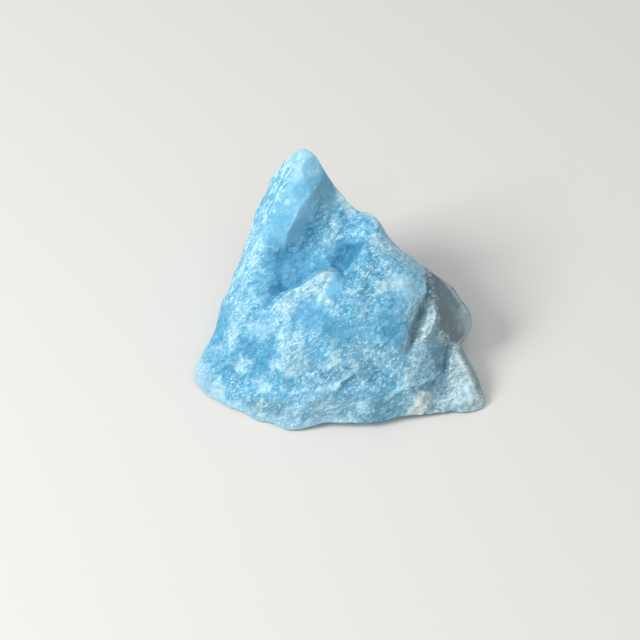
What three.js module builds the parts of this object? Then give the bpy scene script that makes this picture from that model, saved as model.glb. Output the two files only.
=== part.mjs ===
// A rough broken piece of milky aquamarine, resting on its flat broken underside.
// It has a tall horn at the back left, a big front face with a ledge across its top,
// a hollow with a pit behind the ledge, and a shoulder, a rib and a toe on the right.
// Millimetres, x to the right, y to the back, z up.
import * as THREE from 'three';
import { ImprovedNoise } from 'three/addons/math/ImprovedNoise.js';

// Driving dimensions. The front plane leans back by FACE_TILT, and the corners below are on it.
const FACE_TILT = THREE.MathUtils.degToRad( 50 );

// A worn bevel runs behind the whole outline.
const BEVEL = { inset: 0.35, depth: 0.7 };

// How finely the skin is divided, and how much shorter a turned edge has to be.
const LONGEST_EDGE = 1.38;
const FRESH_EDGE_STEP = 0.8;
const TURNING_GAIN = 0.98;
const SMALLEST_SEEN_AREA = 0.05;
const CHORD_BEND = 0.15;

// How edges are rounded: each round takes both steps.
const SOFTENING_ROUNDS = 4;
const SOFTENING_STEPS = [ 0.5, - 0.45 ];

// The broken surface: chips of two sizes with their tilt as a slope, and a gentle swell.
const LARGE_CHIP = { spacing: 4, slope: 0.16, seam: 0.5, seed: 11 };
const SMALL_CHIP = { spacing: 1.8, slope: 0.2, seam: 0.3, seed: 29 };
const SWELL = { width: 7, height: 0.25 };

// The chips fade out below BASE_FADE, and points below BASE_SNAP lie on the base itself.
const BASE_FADE = 0.6;
const BASE_SNAP = 0.05;

// The stone near a corner: how far its edges are rounded, and how deep its chips are.
// A fresh edge is a line, and has extra points so that it stays sharp from corner to corner.
const FRESH_EDGE = { softness: 0.12, chipping: 0.6, isLine: true };
const WORN_EDGE = { softness: 0.5, chipping: 0.7, isLine: false };
const GRAINY_FACE = { softness: 0.9, chipping: 1, isLine: false };
const WAXY_FACE = { softness: 1, chipping: 0.3, isLine: false };
const FLAT_FACE = { softness: 0, chipping: 0, isLine: false };

// The outline that parts the front of the stone from its back, clockwise from the tip of the
// horn. Its corners are measured on the tilted front plane, from the front foot of the stone:
// right, up along the plane, and relief square to it.
const outline = {

	hornTip: [ WORN_EDGE, [
		[ 1.1, 36.8, 3 ],
		[ 2, 36.8, 3.4 ],
		[ 2.9, 36.4, 3.5 ],
		[ 3.6, 35.8, 3.2 ],
	] ],

	hornRightEdge: [ WORN_EDGE, [
		[ 4.2, 34.8, 2.6 ],
		[ 5, 33.5, 2 ],
		[ 5.7, 32.7, 1.6 ],
		[ 7, 31.1, 1 ],
		[ 8, 29.9, 0.6 ],
		[ 9.2, 28.8, 0.2 ],
	] ],

	slabBackEdge: [ WORN_EDGE, [
		[ 10.3, 28.9, 0.5 ],
		[ 11.4, 28.1, 0.5 ],
		[ 12.6, 26.4, 0.3 ],
		[ 14.5, 23.9, 0 ],
		[ 15.8, 23.2, - 0.2 ],
		[ 17.1, 22.1, - 0.4 ],
	] ],

	shoulderEdge: [ WORN_EDGE, [
		[ 18.5, 21.2, - 1.1 ],
		[ 19.5, 20.4, - 1.6 ],
		[ 20.7, 19.9, - 2 ],
		[ 21.8, 18.8, - 2.4 ],
		[ 22.8, 17.1, - 2.8 ],
		[ 23.9, 15.7, - 3.2 ],
		[ 24.3, 14.5, - 3.5 ],
		[ 24, 13.3, - 3.7 ],
		[ 23.3, 12.3, - 3.8 ],
	] ],

	toeEdge: [ WORN_EDGE, [
		[ 22.6, 11.3, - 3.9 ],
		[ 23.3, 10.2, - 3.7 ],
		[ 25, 7, - 3 ],
		[ 25.8, 5.6, - 2.6 ],
		[ 26.2, 4, - 2.4 ],
		[ 25.9, 3, - 2.1 ],
	] ],

	frontFoot: [ WORN_EDGE, [
		[ 24.5, 2.5, - 1.7 ],
		[ 22.7, 2.3, - 1.4 ],
		[ 21, 2.4, - 1.2 ],
		[ 17.8, 2, - 0.6 ],
		[ 14.5, 1.6, 0.2 ],
		[ 12.5, 1.2, 0.6 ],
		[ 9.2, 1, 0.8 ],
		[ 4.6, 1, 0.7 ],
		[ 2.4, 0.5, 0.5 ],
		[ 0, 0, 0.4 ],
		[ - 1.2, 0.4, 0.1 ],
		[ - 2, 1, - 0.2 ],
		[ - 4.6, 1.2, - 0.8 ],
		[ - 6.2, 2.3, - 1.4 ],
		[ - 8.7, 3.3, - 2.2 ],
		[ - 11.1, 4.7, - 3.2 ],
		[ - 12.2, 5.8, - 3.7 ],
	] ],

	hornLeftEdge: [ WORN_EDGE, [
		[ - 12.7, 7.1, - 4 ],
		[ - 12.5, 8.2, - 4 ],
		[ - 11.8, 9.9, - 3.9 ],
		[ - 10.6, 12.4, - 3.8 ],
		[ - 9.9, 14.6, - 3.6 ],
		[ - 7.9, 19.5, - 2.8 ],
		[ - 6.7, 23.2, - 2.2 ],
		[ - 5.5, 26, - 1.6 ],
		[ - 3.7, 30.8, - 0.4 ],
		[ - 2.2, 33.5, 0.8 ],
		[ - 1.3, 34.1, 1.2 ],
		[ - 0.6, 35.2, 1.8 ],
		[ 0.2, 35.7, 2.3 ],
	] ],

};

// The corners of the front, measured as those of the outline are.
const front = {

	hornFace: [ WAXY_FACE, [
		[ 1.4, 34, 3.8 ],
		[ - 0.6, 31.4, 3.3 ],
		[ - 1.9, 28.3, 2.4 ],
		[ - 3.2, 25.3, 1.2 ],
		[ - 4.2, 21.2, 0.4 ],
	] ],

	hornRidge: [ FRESH_EDGE, [
		[ 4.7, 32.6, 2.4 ],
		[ 3.7, 32, 3.3 ],
		[ 2.8, 30.9, 3.8 ],
		[ 2.5, 29.2, 3.3 ],
		[ 2.5, 27.9, 2 ],
	] ],

	hornStep: [ WORN_EDGE, [
		[ 1.4, 29.4, 4 ],
		[ 0.7, 27.8, 3.6 ],
		[ 0, 26.3, 3 ],
		[ - 0.6, 24.8, 2 ],
		[ 1.4, 26.1, 0.8 ],
		[ 0.4, 24.3, 0.4 ],
	] ],

	hollow: [ GRAINY_FACE, [
		[ 5.7, 30.8, 1.2 ],
		[ 4.1, 29.4, 1.3 ],
		[ 5.3, 28, 0.3 ],
		[ 7.2, 28.3, 0.4 ],
		[ 4, 25.8, - 0.6 ],
		[ 7.2, 26, - 0.2 ],
		[ 2, 24.4, - 0.5 ],
		[ - 0.9, 22.7, - 0.5 ],
		[ 1.3, 21.8, - 1 ],
		[ 4, 23.1, - 1 ],
		[ - 2.6, 19.8, 0.8 ],
		[ - 1.7, 18.4, 0.5 ],
	] ],

	pitEdge: [ FRESH_EDGE, [
		[ 6.2, 24.2, - 0.5 ],
		[ 7.5, 25.2, - 0.3 ],
		[ 8.9, 24.6, - 0.3 ],
	] ],

	pitFloor: [ WAXY_FACE, [
		[ 7.5, 23.6, - 1.8 ],
		[ 7, 22.3, - 2 ],
		[ 6.6, 21.4, - 1.8 ],
		[ 8.5, 23.7, - 1.4 ],
	] ],

	ledgeShelf: [ WORN_EDGE, [
		[ 1.7, 20, - 0.2 ],
		[ 3.4, 20.9, - 0.2 ],
		[ 5.2, 21.8, - 0.6 ],
	] ],

	ledgeCrest: [ FRESH_EDGE, [
		[ - 1.3, 17.5, 2.2 ],
		[ 0.2, 18.4, 2.7 ],
		[ 1.4, 19, 3 ],
		[ 2.9, 19.9, 3.3 ],
		[ 4.6, 20.7, 3.5 ],
		[ 5.8, 20.8, 3.5 ],
		[ 6.3, 19.4, 3.6 ],
	] ],

	slabEdge: [ FRESH_EDGE, [
		[ 7.1, 20.8, 2.6 ],
		[ 7.5, 21.6, 2.4 ],
		[ 8.8, 23.5, 1.9 ],
		[ 10, 25.2, 1.4 ],
		[ 11.5, 26.6, 1.2 ],
	] ],

	slabFace: [ GRAINY_FACE, [
		[ 12.4, 25.1, 1.2 ],
		[ 11.1, 23.1, 2.1 ],
		[ 13.1, 21.8, 1.9 ],
		[ 9.8, 20.4, 3.1 ],
		[ 14.4, 19.8, 2.2 ],
		[ 15.7, 22.2, 0.7 ],
	] ],

	broadFace: [ GRAINY_FACE, [
		[ 5.5, 17.4, 3.5 ],
		[ 7.8, 17.2, 3.8 ],
		[ 12.4, 16.5, 3.1 ],
		[ 15, 15.9, 2.4 ],
		[ 2.7, 15.9, 3 ],
		[ - 0.6, 14.6, 2.9 ],
		[ - 3.2, 15.9, 1.7 ],
		[ - 6.6, 17.2, 0.1 ],
		[ - 5.2, 19.2, 0.6 ],
		[ - 7.2, 13.3, - 0.3 ],
		[ - 3.9, 12, 0.9 ],
		[ 0.1, 11.4, 3.2 ],
		[ 4, 12.7, 3.4 ],
		[ 7.8, 12.7, 3.2 ],
		[ 11.7, 12.7, 3.2 ],
		[ - 8.6, 9.3, - 1.6 ],
		[ - 10, 11.3, - 2.3 ],
		[ - 4.2, 9.5, 0 ],
		[ - 5.9, 7.6, - 0.4 ],
		[ - 0.6, 8.4, 2.5 ],
		[ 2.4, 8.1, 2.2 ],
		[ 5.2, 8.8, 3.1 ],
		[ 9.1, 8.7, 2.9 ],
		[ 13, 9.4, 2.4 ],
		[ - 8.6, 6, - 1.9 ],
		[ - 5.3, 4.7, - 0.7 ],
		[ - 1.3, 4.1, 0.7 ],
		[ 2.6, 4.2, 1.6 ],
		[ 7.2, 4.2, 1.8 ],
		[ 11.1, 4.8, 1.6 ],
	] ],

	broadFaceRightEdge: [ FRESH_EDGE, [
		[ 17.6, 19.8, 0.8 ],
		[ 17.8, 18.3, 1 ],
		[ 17, 17, 1.3 ],
		[ 16.5, 15.6, 1.5 ],
		[ 15.8, 13.7, 1.8 ],
		[ 15.2, 11.6, 1.9 ],
		[ 14.9, 9.6, 1.8 ],
	] ],

	groove: [ FRESH_EDGE, [
		[ 18.2, 19.6, - 0.5 ],
		[ 18, 17.8, - 0.5 ],
		[ 17.4, 16.1, - 0.7 ],
		[ 16.8, 14.4, - 0.6 ],
		[ 16.2, 12.8, - 0.2 ],
		[ 15.8, 11.3, 0.5 ],
	] ],

	ribCrest: [ FRESH_EDGE, [
		[ 18.6, 17, 0.1 ],
		[ 19.1, 15.6, 0.9 ],
		[ 18.8, 14, 1.2 ],
		[ 18.2, 12.6, 1.2 ],
		[ 17.2, 11.7, 1 ],
	] ],

	ribFoot: [ FRESH_EDGE, [
		[ 19.7, 15.9, - 0.4 ],
		[ 19.6, 14.1, - 0.3 ],
		[ 19.1, 12.3, - 0.4 ],
	] ],

	shoulderFace: [ WAXY_FACE, [
		[ 19.4, 18, - 0.9 ],
		[ 20.4, 18.5, - 1.4 ],
		[ 20.5, 14.6, - 0.8 ],
		[ 21.4, 16.2, - 1.6 ],
		[ 22.6, 14.6, - 2.5 ],
		[ 21.5, 13, - 2 ],
		[ 20.3, 12.4, - 1.3 ],
	] ],

	cheek: [ GRAINY_FACE, [
		[ 17.7, 11.3, 0.3 ],
		[ 16.4, 9.4, 1 ],
		[ 18.4, 9.1, - 0.4 ],
		[ 17.1, 6.7, 0.5 ],
		[ 19.4, 6.9, - 0.9 ],
		[ 15, 7, 1.6 ],
	] ],

	crease: [ FRESH_EDGE, [
		[ 19.8, 10.9, - 1.7 ],
		[ 21, 11, - 2.7 ],
		[ 20.7, 9.2, - 2.5 ],
		[ 20.4, 7.3, - 2.3 ],
		[ 19.8, 5.3, - 1.9 ],
		[ 18.7, 3.6, - 1.4 ],
	] ],

	footChip: [ FRESH_EDGE, [
		[ 15.1, 5.4, 1.2 ],
		[ 17.9, 6.1, 0.2 ],
		[ 16.4, 4.4, 0.8 ],
		[ 17.7, 3.4, 0 ],
	] ],

	toeCrest: [ WORN_EDGE, [
		[ 22.1, 10.2, - 2.4 ],
		[ 23.1, 8.5, - 1.7 ],
		[ 24.2, 6.5, - 1.2 ],
		[ 25.1, 4.8, - 1.2 ],
	] ],

	toeFace: [ WORN_EDGE, [
		[ 22, 7.3, - 1.7 ],
		[ 22.8, 5.1, - 1 ],
		[ 21.2, 4.2, - 1.2 ],
		[ 23.8, 3.6, - 1.2 ],
	] ],

};

// The corners of the back and the underside: x to the right, y to the back and z up, from the
// front foot.
const behind = {

	hornBack: [ WORN_EDGE, [
		[ 2.1, 27, 23.6 ],
		[ 1.5, 27.1, 20.5 ],
		[ - 1, 26.6, 19 ],
		[ 4, 26, 19 ],
		[ 1.5, 27.6, 16.5 ],
		[ 5, 26.6, 15.5 ],
		[ - 2.8, 26.4, 15.5 ],
	] ],

	backLedge: [ WORN_EDGE, [
		[ - 2.5, 27.6, 12 ],
		[ 1, 28.8, 12.6 ],
		[ 5, 28.6, 12.6 ],
		[ 8.5, 26.2, 12.4 ],
	] ],

	backHollow: [ GRAINY_FACE, [
		[ - 1.5, 27.4, 10.2 ],
		[ 2.5, 28.2, 10.6 ],
		[ 6.5, 27.2, 10.6 ],
		[ 9.5, 25, 11 ],
	] ],

	backFace: [ GRAINY_FACE, [
		[ 0.5, 29.8, 6.5 ],
		[ 5.5, 29.6, 6.5 ],
		[ 10, 26.6, 7 ],
		[ 4, 29.4, 3 ],
		[ 12, 22, 14 ],
		[ 12.5, 23.4, 10 ],
		[ 15.5, 20, 10 ],
		[ 15, 21.5, 5 ],
	] ],

	rightBack: [ WORN_EDGE, [
		[ 19, 18, 7.6 ],
		[ 18, 19, 4 ],
		[ 21.8, 15.6, 5.2 ],
		[ 21.5, 14, 2.6 ],
		[ 22.8, 10, 1.8 ],
	] ],

	leftFace: [ GRAINY_FACE, [
		[ - 4.2, 25.8, 12 ],
		[ - 4, 27, 6 ],
		[ - 5.5, 23.5, 9 ],
		[ - 6.5, 23, 3 ],
		[ - 7.3, 20, 5 ],
		[ - 9, 16.5, 2.5 ],
		[ - 11, 12, 1.6 ],
	] ],

	undercut: [ WORN_EDGE, [
		[ 0, 1.8, 0.5 ],
		[ 6, 2.6, 0.8 ],
		[ 13, 3.2, 0.9 ],
		[ 19, 4, 0.6 ],
		[ 24, 5.3, 0.4 ],
		[ 22.3, 9, 0.7 ],
		[ 20.2, 13.5, 1.2 ],
		[ 17, 18.5, 1.2 ],
		[ 11, 25, 1.2 ],
		[ 3, 28, 1.3 ],
		[ - 5, 24.5, 1.2 ],
		[ - 8.7, 16.5, 0.8 ],
		[ - 10.3, 9.5, 0.6 ],
		[ - 6.3, 4.5, 0.4 ],
	] ],

	restingFace: [ FLAT_FACE, [
		[ 1, 4.5, 0 ],
		[ 9, 5, 0 ],
		[ 17, 6, 0 ],
		[ 20.5, 8, 0 ],
		[ 18, 13.5, 0 ],
		[ 14, 18, 0 ],
		[ 9, 23.5, 0 ],
		[ 2, 26, 0 ],
		[ - 4, 21, 0 ],
		[ - 7, 14, 0 ],
		[ - 7.5, 8.5, 0 ],
		[ - 4.5, 5.5, 0 ],
		[ 5, 14.2, 0 ],
	] ],

};

// Twice the area of a triangle, as an arrow square to it.
function areaArrow( a, b, c ) {

	return b.clone().sub( a ).cross( c.clone().sub( a ) );

}

// The stone's coordinates of a corner on the front plane, and the other way about.
function fromPlane( [ right, up, relief ] ) {

	const back = up * Math.sin( FACE_TILT ) - relief * Math.cos( FACE_TILT );
	const height = up * Math.cos( FACE_TILT ) + relief * Math.sin( FACE_TILT );
	return new THREE.Vector3( right, back, height );

}

function toPlane( { x, y, z } ) {

	const up = y * Math.sin( FACE_TILT ) + z * Math.cos( FACE_TILT );
	const relief = z * Math.sin( FACE_TILT ) - y * Math.cos( FACE_TILT );
	return new THREE.Vector3( x, up, relief );

}

// Twice the area that a triangle shows from the front, negative for one that faces away.
function seenArea( points, triangle ) {

	return areaArrow( ...triangle.map( ( index ) => toPlane( points[ index ] ) ) ).z;

}

// The corners of a line with points between them, none further apart than a fresh edge's step.
function fillLine( corners ) {

	const filled = [ corners[ 0 ] ];
	for ( let next = 1; next < corners.length; next ++ ) {

		const [ from, to ] = [ corners[ next - 1 ], corners[ next ] ];
		const steps = Math.ceil( from.distanceTo( to ) / FRESH_EDGE_STEP );
		for ( let step = 1; step <= steps; step ++ ) filled.push( from.clone().lerp( to, step / steps ) );

	}

	const isLoop = corners[ 0 ].equals( corners[ corners.length - 1 ] );
	return isLoop ? filled.slice( 1 ) : filled;

}

// Adds the corners of some stretches to the skin, and gives their places in it.
function addCorners( skin, stretches, placed ) {

	return Object.values( stretches ).flatMap( ( [ finish, stretch ] ) => {

		const corners = stretch.map( placed );
		return ( finish.isLine ? fillLine( corners ) : corners ).map( ( corner ) => {

			skin.softness.push( finish.softness );
			skin.chipping.push( finish.chipping );
			return skin.points.push( corner ) - 1;

		} );

	} );

}

// Adds the corners of a worn bevel behind the outline, each a little inwards and a little back.
function addBevel( skin, rim ) {

	const edge = rim.map( ( index ) => toPlane( skin.points[ index ] ) );
	return edge.map( ( corner, place ) => {

		const before = edge[ ( place + rim.length - 1 ) % rim.length ];
		const after = edge[ ( place + 1 ) % rim.length ];
		const along = after.clone().sub( before ).setZ( 0 ).normalize();
		const right = corner.x + along.y * BEVEL.inset;
		const up = corner.y - along.x * BEVEL.inset;
		skin.softness.push( WORN_EDGE.softness );
		skin.chipping.push( WORN_EDGE.chipping );
		return skin.points.push( fromPlane( [ right, up, corner.z - BEVEL.depth ] ) ) - 1;

	} );

}

// Spans one side of the stone inside its outline. The outline is filled first, and then each
// corner splits the triangle that it lies in.
function spanSide( points, rim, inner ) {

	const fill = THREE.ShapeUtils.triangulateShape( rim.map( ( index ) => toPlane( points[ index ] ) ), [] );
	const triangles = fill.map( ( triangle ) => triangle.map( ( place ) => rim[ place ] ) );
	triangles.forEach( ( triangle ) => {

		if ( seenArea( points, triangle ) < 0 ) triangle.reverse();

	} );
	for ( const corner of inner ) {

		const place = triangles.findIndex( ( [ a, b, c ] ) => seenArea( points, [ a, b, corner ] ) > 0
			&& seenArea( points, [ b, c, corner ] ) > 0 && seenArea( points, [ c, a, corner ] ) > 0 );
		const [ a, b, c ] = triangles[ place ];
		triangles.splice( place, 1, [ a, b, corner ], [ b, c, corner ], [ c, a, corner ] );

	}

	turnEdges( points, triangles );
	return triangles;

}

// Finds an edge that would be shorter between the other two corners of its two triangles,
// where both of the turned triangles still show their outer face.
function findEdgeToTurn( points, triangles ) {

	const beside = new Map();
	triangles.forEach( ( triangle, index ) => {

		triangle.forEach( ( start, side ) => {

			const end = triangle[ ( side + 1 ) % 3 ];
			beside.set( start + '_' + end, { index, start, end, far: triangle[ ( side + 2 ) % 3 ] } );

		} );

	} );
	for ( const here of beside.values() ) {

		const there = beside.get( here.end + '_' + here.start );
		if ( ! there ) continue;
		const oldLength = points[ here.start ].distanceTo( points[ here.end ] );
		const newLength = points[ here.far ].distanceTo( points[ there.far ] );
		const turned = [[ here.far, here.start, there.far ], [ there.far, here.end, here.far ]];
		const shows = turned.every( ( triangle ) => seenArea( points, triangle ) > SMALLEST_SEEN_AREA );
		if ( shows && newLength < oldLength * TURNING_GAIN ) return { here, there, turned };

	}

}

// Turns edges until each joins corners that are near each other in space.
function turnEdges( points, triangles ) {

	let edge = findEdgeToTurn( points, triangles );
	while ( edge ) {

		[ triangles[ edge.here.index ], triangles[ edge.there.index ] ] = edge.turned;
		edge = findEdgeToTurn( points, triangles );

	}

}

// Finds an inner edge of one side that runs straight between two corners of the outline.
function findOutlineChord( triangles, rim ) {

	const placeOnRim = new Map( rim.map( ( index, place ) => [ index, place ] ) );
	for ( const triangle of triangles ) {

		for ( let side = 0; side < 3; side ++ ) {

			const [ start, end ] = [ triangle[ side ], triangle[ ( side + 1 ) % 3 ] ];
			if ( ! placeOnRim.has( start ) || ! placeOnRim.has( end ) ) continue;
			const apart = Math.abs( placeOnRim.get( start ) - placeOnRim.get( end ) );
			if ( apart > 1 && apart < rim.length - 1 ) return [ start, end ];

		}

	}

}

// Bends each such edge of the far side outwards at its middle, because the near side may
// have the same edge, and the stone would be as thin as paper there.
function bendOutlineChords( skin, rim, triangles ) {

	const { points, softness, chipping } = skin;
	const backwards = fromPlane( [ 0, 0, - 1 ] );
	let chord = findOutlineChord( triangles, rim );
	while ( chord ) {

		const [ start, end ] = chord;
		const length = points[ start ].distanceTo( points[ end ] );
		const middle = points[ start ].clone().lerp( points[ end ], 0.5 );
		const bend = points.push( middle.addScaledVector( backwards, length * CHORD_BEND ) ) - 1;
		softness.push( ( softness[ start ] + softness[ end ] ) / 2 );
		chipping.push( ( chipping[ start ] + chipping[ end ] ) / 2 );
		const beside = triangles.filter( ( triangle ) => triangle.includes( start ) && triangle.includes( end ) );
		for ( const triangle of beside ) {

			triangles.push( triangle.map( ( index ) => index === start ? bend : index ) );
			triangle[ triangle.indexOf( end ) ] = bend;

		}

		chord = findOutlineChord( triangles, rim );

	}

}

// Joins the corners into one closed skin, whose two sides meet along the outline.
function spanCorners() {

	const skin = { points: [], softness: [], chipping: [] };
	const inStone = ( corner ) => new THREE.Vector3( ...corner );
	const rim = addCorners( skin, outline, fromPlane );
	const near = spanSide( skin.points, rim, addCorners( skin, front, fromPlane ) );
	const farCorners = [ ...addBevel( skin, rim ), ...addCorners( skin, behind, inStone ) ];
	const far = spanSide( skin.points, rim, farCorners );
	bendOutlineChords( skin, rim, far );
	skin.triangles = near.concat( far.map( ( triangle ) => triangle.reverse() ) );
	return skin;

}

// Cuts every edge that is over the length limit at its middle, until none is left.
// Both triangles on an edge share the new point, so the skin stays closed.
function splitLongEdges( skin ) {

	const { points, softness, chipping } = skin;
	let cut = true;
	while ( cut ) {

		const middles = new Map();
		const middleOf = ( a, b ) => {

			const key = Math.min( a, b ) + '_' + Math.max( a, b );
			if ( points[ a ].distanceTo( points[ b ] ) <= LONGEST_EDGE ) return - 1;
			if ( ! middles.has( key ) ) {

				middles.set( key, points.length );
				points.push( points[ a ].clone().lerp( points[ b ], 0.5 ) );
				softness.push( ( softness[ a ] + softness[ b ] ) / 2 );
				chipping.push( ( chipping[ a ] + chipping[ b ] ) / 2 );

			}

			return middles.get( key );

		};

		skin.triangles = skin.triangles.flatMap( ( triangle ) => splitTriangle( triangle, middleOf ) );
		cut = middles.size > 0;

	}

}

// Divides one triangle into two, three or four, by how many of its edges have a middle point.
function splitTriangle( triangle, middleOf ) {

	const middles = triangle.map( ( corner, side ) => middleOf( corner, triangle[ ( side + 1 ) % 3 ] ) );
	const count = middles.filter( ( middle ) => middle >= 0 ).length;
	if ( count === 0 ) return [ triangle ];
	let turn = 0;
	if ( count === 1 ) turn = middles.findIndex( ( middle ) => middle >= 0 );
	if ( count === 2 ) turn = ( middles.findIndex( ( middle ) => middle < 0 ) + 1 ) % 3;
	const [ a, b, c ] = [ 0, 1, 2 ].map( ( step ) => triangle[ ( turn + step ) % 3 ] );
	const [ ab, bc, ca ] = [ 0, 1, 2 ].map( ( step ) => middles[ ( turn + step ) % 3 ] );
	if ( count === 1 ) return [[ a, ab, c ], [ ab, b, c ]];
	if ( count === 2 ) return [[ ab, b, bc ], [ a, ab, c ], [ ab, bc, c ]];
	return [[ a, ab, ca ], [ ab, b, bc ], [ ca, bc, c ], [ ab, bc, ca ]];

}

// Draws each point towards the mean of its neighbours by as much as its softness says, and
// then a little less far back, so that edges soften and the stone keeps its size.
function soften( { points, softness, triangles } ) {

	const neighbours = points.map( () => new Set() );
	for ( const [ a, b, c ] of triangles ) {

		neighbours[ a ].add( b );
		neighbours[ b ].add( c );
		neighbours[ c ].add( a );

	}

	for ( let round = 0; round < SOFTENING_ROUNDS; round ++ ) {

		for ( const step of SOFTENING_STEPS ) {

			const moved = points.map( ( point, index ) => {

				const mean = new THREE.Vector3();
				for ( const neighbour of neighbours[ index ] ) mean.add( points[ neighbour ] );
				mean.divideScalar( neighbours[ index ].size );
				return point.clone().lerp( mean, softness[ index ] * step );

			} );
			points.forEach( ( point, index ) => point.copy( moved[ index ] ) );

		}

	}

}

// Scatters chips through the stone's box. Each is a small plane with its own tilt.
function scatterChips( box, size ) {

	const chips = [];
	const random = () => THREE.MathUtils.seededRandom();
	THREE.MathUtils.seededRandom( size.seed );
	for ( let x = box.min.x; x < box.max.x; x += size.spacing ) {

		for ( let y = box.min.y; y < box.max.y; y += size.spacing ) {

			for ( let z = box.min.z; z < box.max.z; z += size.spacing ) {

				const centre = new THREE.Vector3( x + random() * size.spacing, y + random() * size.spacing,
					z + random() * size.spacing );
				const tilt = new THREE.Vector3( random() - 0.5, random() - 0.5, random() - 0.5 );
				chips.push( { centre, tilt: tilt.setLength( size.slope ) } );

			}

		}

	}

	return chips;

}

// Height of the chipped surface at a point: the plane of the nearest chip, run into its
// neighbours' planes over the width of a seam.
function chipHeight( point, chips, seam ) {

	const distances = chips.map( ( { centre } ) => centre.distanceTo( point ) );
	const nearest = Math.min( ...distances );
	let weights = 0;
	let height = 0;
	chips.forEach( ( { centre, tilt }, index ) => {

		const weight = Math.exp( ( nearest - distances[ index ] ) / seam );
		weights += weight;
		height += weight * tilt.dot( point.clone().sub( centre ) );

	} );
	return height / weights;

}

// Outward directions at the points, from the triangles around each.
function outwards( { points, triangles } ) {

	const normals = points.map( () => new THREE.Vector3() );
	for ( const triangle of triangles ) {

		const arrow = areaArrow( ...triangle.map( ( index ) => points[ index ] ) );
		for ( const index of triangle ) normals[ index ].add( arrow );

	}

	return normals.map( ( normal ) => normal.normalize() );

}

// Breaks the faces up with chips of two sizes and a gentle swell, fading out at the base.
function chipFaces( skin ) {

	const box = new THREE.Box3().setFromPoints( skin.points );
	const sizes = [ LARGE_CHIP, SMALL_CHIP ];
	const chipsOfSize = sizes.map( ( size ) => scatterChips( box, size ) );
	const noise = new ImprovedNoise();
	const normals = outwards( skin );
	skin.points.forEach( ( point, index ) => {

		const away = THREE.MathUtils.smoothstep( point.z, 0, BASE_FADE );
		const place = point.clone().divideScalar( SWELL.width );
		let height = SWELL.height * noise.noise( place.x, place.y, place.z );
		sizes.forEach( ( size, order ) => {

			height += chipHeight( point, chipsOfSize[ order ], size.seam );

		} );
		point.addScaledVector( normals[ index ], away * height * skin.chipping[ index ] );

	} );

}

// Sets the stone down: the underside is level with zero, and the box is centred on the origin.
function restOnBase( { points } ) {

	const middle = new THREE.Box3().setFromPoints( points ).getCenter( new THREE.Vector3() );
	for ( const point of points ) {

		point.x -= middle.x;
		point.y -= middle.y;
		if ( point.z < BASE_SNAP ) point.z = 0;

	}

}

function stoneGeometry() {

	const skin = spanCorners();
	splitLongEdges( skin );
	soften( skin );
	chipFaces( skin );
	restOnBase( skin );
	const geometry = new THREE.BufferGeometry().setFromPoints( skin.points );
	geometry.setIndex( skin.triangles.flat() );
	geometry.computeVertexNormals();
	return geometry;

}

const milkyBeryl = new THREE.MeshStandardMaterial( { color: 0x8fbcd8, roughness: 0.5, metalness: 0 } );
const aquamarine = new THREE.Mesh( stoneGeometry(), milkyBeryl );
aquamarine.name = 'aquamarine';

const stone = new THREE.Group();
stone.add( aquamarine );

export default stone;
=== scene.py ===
"""Looks for a rough broken piece of milky aquamarine, which rests on its flat broken base.

The stone is one piece. Its skin is the frame's own solid, divided finely and worked over with
chips, cleavage flakes, crumbs and growth lines. One material holds the milky beryl: sky blue with
white veils and flecks, some flecks painted glints, deeper blue in the hollows, partly painted
shade, a smooth grey-blue shoulder painted dark as shade and as dark ground showing through it,
and cream crumbs. Crests, rims and step edges carry painted highlights, and creases and the gaps
under steps painted shade.
Everything is in metres in the frame's own axes: x to the right, y to the back, z up.
"""

import math
from collections import namedtuple

import bpy
import numpy as np
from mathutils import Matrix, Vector


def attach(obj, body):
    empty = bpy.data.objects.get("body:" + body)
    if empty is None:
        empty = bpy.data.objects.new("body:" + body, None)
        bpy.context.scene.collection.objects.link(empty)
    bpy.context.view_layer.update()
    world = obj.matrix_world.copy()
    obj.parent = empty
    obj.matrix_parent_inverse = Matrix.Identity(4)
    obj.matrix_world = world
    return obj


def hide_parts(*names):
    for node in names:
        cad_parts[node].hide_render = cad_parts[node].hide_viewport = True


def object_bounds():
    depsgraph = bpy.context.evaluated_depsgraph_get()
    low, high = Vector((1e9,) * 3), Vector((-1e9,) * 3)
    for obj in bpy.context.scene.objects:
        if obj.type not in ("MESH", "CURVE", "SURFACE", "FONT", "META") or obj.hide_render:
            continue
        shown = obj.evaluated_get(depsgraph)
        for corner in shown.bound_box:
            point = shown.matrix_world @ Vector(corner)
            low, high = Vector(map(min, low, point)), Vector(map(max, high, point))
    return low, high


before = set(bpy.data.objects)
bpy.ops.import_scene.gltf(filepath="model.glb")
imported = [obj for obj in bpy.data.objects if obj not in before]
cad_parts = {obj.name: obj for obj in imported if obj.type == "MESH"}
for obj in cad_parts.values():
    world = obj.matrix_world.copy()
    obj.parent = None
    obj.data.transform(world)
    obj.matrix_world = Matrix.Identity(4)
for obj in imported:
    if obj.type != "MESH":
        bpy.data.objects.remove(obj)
cad_low, cad_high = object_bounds()

MM = 0.001
LOW, HIGH = np.array(cad_low), np.array(cad_high)
SIZE = HIGH - LOW
TINY = 1e-20  # Keeps a division by a length of nothing in bounds.

# The front of the stone leans back by this much. Marks on it are placed in millimetres on the
# leaning front plane: right, and up along it, from the front foot of the stone.
FACE_TILT = math.radians(50)
FRONT_FOOT = LOW + SIZE * (0.331, 0.006, 0.0)

# A surface belongs to the front where the cosine between its normal and the front plane's passes
# from the first of these to the second.
BEHIND, IN_FRONT = -0.35, -0.05

# Points of the solid are one when their places round to the same tenth of a micrometre.
ROUNDING = 1e7

# The skin: how many times it is divided, and the angles at which an edge is soft and is crisp.
DIVISIONS = 2
SOFT_ANGLE, CRISP_ANGLE = math.radians(22), math.radians(48)

# Below the first height a point belongs to the flat base, and relief fades in up to the second.
BASE_HEIGHT, FADE_HEIGHT = 0.001 * MM, 0.6 * MM

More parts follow.
